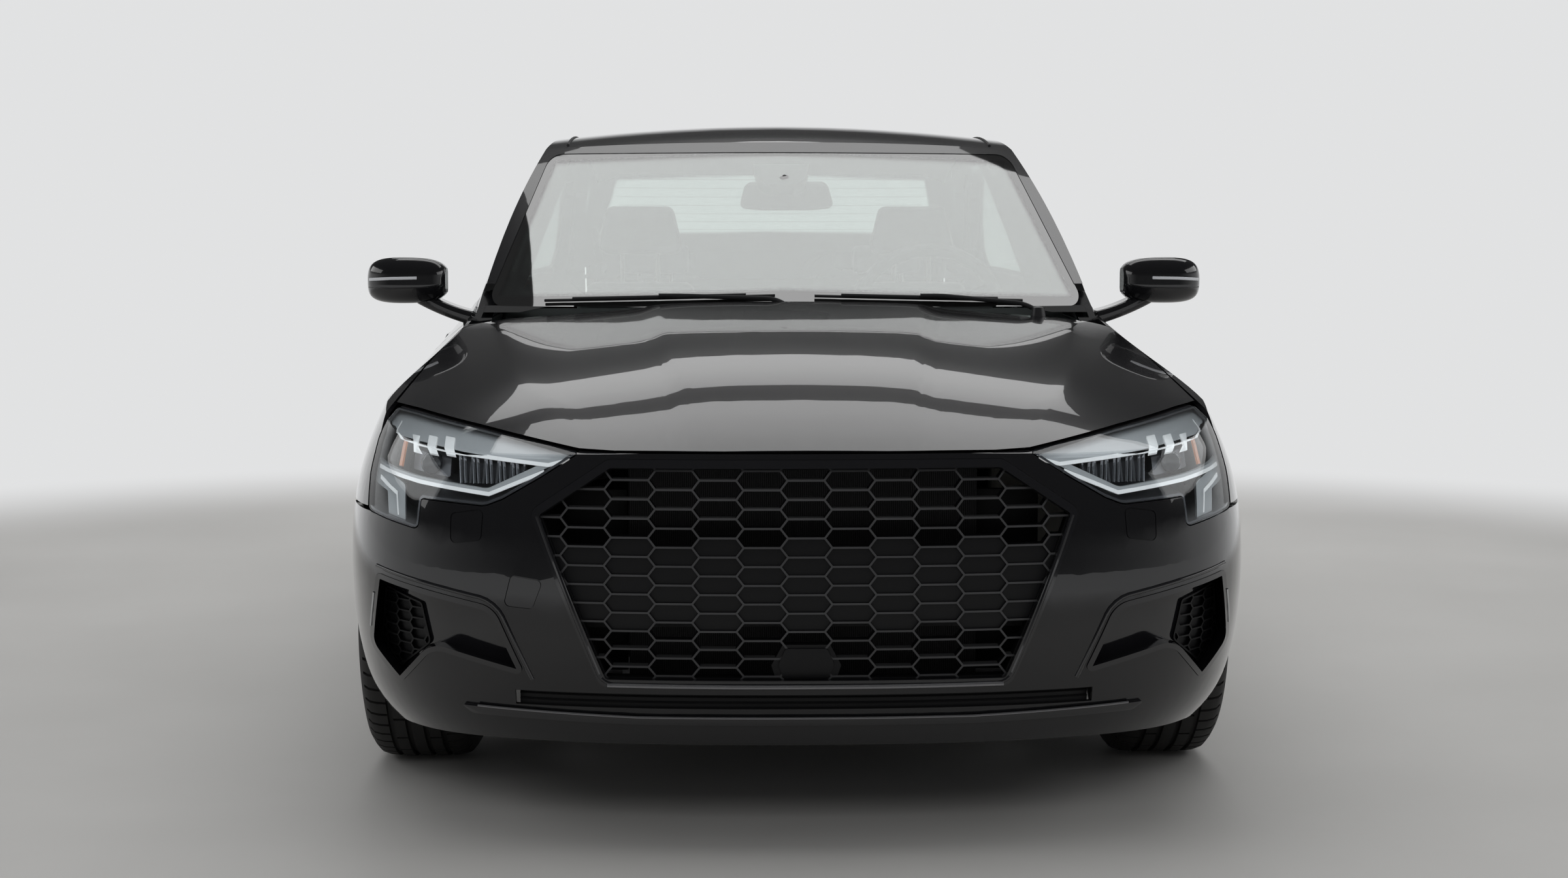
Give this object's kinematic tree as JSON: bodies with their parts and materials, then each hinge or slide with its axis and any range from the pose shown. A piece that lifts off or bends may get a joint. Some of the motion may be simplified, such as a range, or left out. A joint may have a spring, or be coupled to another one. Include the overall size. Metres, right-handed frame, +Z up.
{
  "type": "saloon car",
  "caption": "Compact four-door saloon with opening doors, bonnet and boot lid, steered front wheels, rolling wheels and a furnished cabin.",
  "frame": {"origin": "on the ground below the middle of the car's overall length and width", "axes": "+X to the car's left, nose towards -Y, +Z up"},
  "size_m": [1.984, 4.4968, 1.425],
  "materials": {
    "black_paint": "high gloss",
    "body_grey": "matt",
    "window_glass": "clear",
    "lamp_glass": "clear",
    "lamp_white": "satin",
    "dark_plastic": "matt grained",
    "satin_black": "satin",
    "gloss_black_trim": "gloss",
    "red_lamp": "gloss",
    "cast_metal": "rough",
    "steel": "brushed",
    "aluminium_parts": "satin",
    "trim_black": "soft matt",
    "seat_cloth": "woven",
    "tyre_rubber": "matt",
    "alloy": "satin"
  },
  "bodies": {
    "root": {"floor_pan": "body_grey", "body_sides": "black_paint", "roof_panel": "black_paint", "rear_deck": "black_paint", "windscreen": "window_glass", "rear_window": "window_glass", "cowl": "dark_plastic", "front_fenders": "black_paint", "front_bumper": "black_paint", "grilles": "satin_black", "grille_frames": "gloss_black_trim", "headlamp_lenses": "lamp_glass", "headlamp_housings": "dark_plastic", "headlamp_lights": "lamp_white", "rear_bumper": "black_paint", "tail_lamps": "red_lamp", "arch_liners": "dark_plastic", "front_subframe": "cast_metal", "rear_axle_beam": "cast_metal", "exhaust": "steel", "engine": "cast_metal", "radiator": "aluminium_parts", "dashboard": "trim_black", "front_seats": "seat_cloth", "rear_bench": "seat_cloth"},
    "hood": {"hood": "black_paint"},
    "boot_lid": {"boot_lid": "black_paint", "boot_lid_lamps": "red_lamp"},
    "door_front_left": {"door_front_left": "black_paint", "door_front_glass_left": "window_glass", "mirror_left": "black_paint"},
    "door_rear_left": {"door_rear_left": "black_paint", "door_rear_glass_left": "window_glass"},
    "steer_left": {"knuckle_left": "cast_metal"},
    "wheel_front_left": {"tyre_front_left": "tyre_rubber", "wheel_front_left": "alloy"},
    "wheel_rear_left": {"tyre_rear_left": "tyre_rubber", "wheel_rear_left": "alloy"},
    "door_front_right": {"door_front_right": "black_paint", "door_front_glass_right": "window_glass", "mirror_right": "black_paint"},
    "door_rear_right": {"door_rear_right": "black_paint", "door_rear_glass_right": "window_glass"},
    "steer_right": {"knuckle_right": "cast_metal"},
    "wheel_front_right": {"tyre_front_right": "tyre_rubber", "wheel_front_right": "alloy"},
    "wheel_rear_right": {"tyre_rear_right": "tyre_rubber", "wheel_rear_right": "alloy"},
    "steering_wheel": {"steering_wheel": "trim_black"}
  },
  "joints": [
    {"name": "hood_hinge", "type": "hinge", "parent": "root", "child": "hood", "pos_m": [0, -0.9175, 0.872], "axis": [-1, 0, 0], "range_deg": [0, 55]},
    {"name": "boot_lid_hinge", "type": "hinge", "parent": "root", "child": "boot_lid", "pos_m": [0, 1.5525, 1.03], "axis": [1, 0, 0], "range_deg": [0, 75]},
    {"name": "door_front_left_hinge", "type": "hinge", "parent": "root", "child": "door_front_left", "pos_m": [0.89, -0.9145, 0.55], "axis": [0, 0, -1], "range_deg": [0, 67]},
    {"name": "door_rear_left_hinge", "type": "hinge", "parent": "root", "child": "door_rear_left", "pos_m": [0.886, 0.1655, 0.55], "axis": [0, 0, -1], "range_deg": [0, 65]},
    {"name": "steer_left", "type": "hinge", "parent": "root", "child": "steer_left", "pos_m": [0.705, -1.3645, 0.19], "axis": [-0.189, 0, 0.982], "range_deg": [-35, 35]},
    {"name": "wheel_front_left_spin", "type": "hinge", "parent": "steer_left", "child": "wheel_front_left", "pos_m": [0.777, -1.3645, 0.3185], "axis": [1, 0, 0], "continuous": true},
    {"name": "wheel_rear_left_spin", "type": "hinge", "parent": "root", "child": "wheel_rear_left", "pos_m": [0.7635, 1.2715, 0.3185], "axis": [1, 0, 0], "continuous": true},
    {"name": "door_front_right_hinge", "type": "hinge", "parent": "root", "child": "door_front_right", "pos_m": [-0.89, -0.9145, 0.55], "axis": [0, 0, 1], "range_deg": [0, 67]},
    {"name": "door_rear_right_hinge", "type": "hinge", "parent": "root", "child": "door_rear_right", "pos_m": [-0.886, 0.1655, 0.55], "axis": [0, 0, 1], "range_deg": [0, 65]},
    {"name": "steer_right", "type": "hinge", "parent": "root", "child": "steer_right", "pos_m": [-0.705, -1.3645, 0.19], "axis": [0.189, 0, 0.982], "range_deg": [-35, 35]},
    {"name": "wheel_front_right_spin", "type": "hinge", "parent": "steer_right", "child": "wheel_front_right", "pos_m": [-0.777, -1.3645, 0.3185], "axis": [1, 0, 0], "continuous": true},
    {"name": "wheel_rear_right_spin", "type": "hinge", "parent": "root", "child": "wheel_rear_right", "pos_m": [-0.7635, 1.2715, 0.3185], "axis": [1, 0, 0], "continuous": true},
    {"name": "steering_wheel_turn", "type": "hinge", "parent": "root", "child": "steering_wheel", "pos_m": [0.37, -0.4395, 0.905], "axis": [0, 0.9135, 0.4067], "range_deg": [-500, 500]}
  ],
  "couplings": [
    {"joint": "steer_right", "follows": "steer_left", "ratio": 1},
    {"joint": "steering_wheel_turn", "follows": "steer_left", "ratio": 14}
  ]
}
